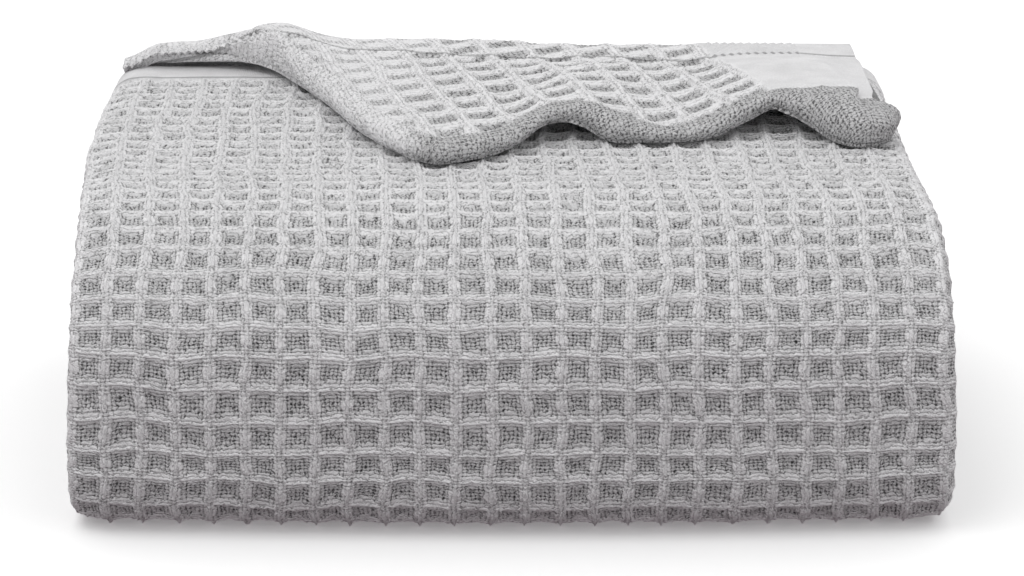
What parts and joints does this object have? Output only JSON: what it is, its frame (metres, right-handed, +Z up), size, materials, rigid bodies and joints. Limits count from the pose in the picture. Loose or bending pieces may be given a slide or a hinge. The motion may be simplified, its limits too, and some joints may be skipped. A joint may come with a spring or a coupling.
{
  "type": "folded cotton throw blanket",
  "caption": "Waffle-weave cotton throw folded into a soft rectangular stack, with a loose turned corner on top and hemmed ends.",
  "frame": {"origin": "middle of the underside that the folded stack rests on, under the middle of its box", "axes": "+X along the stack's long front, to the right as seen from the front; +Y from the rounded front fold to the back; +Z up"},
  "size_m": [0.4055, 0.3339, 0.1729],
  "materials": {
    "cotton": "matt light grey waffle weave of soft-spun cotton, with plain woven borders and turned hems"
  },
  "bodies": {
    "root": {"throw_blanket": "cotton"}
  },
  "joints": []
}
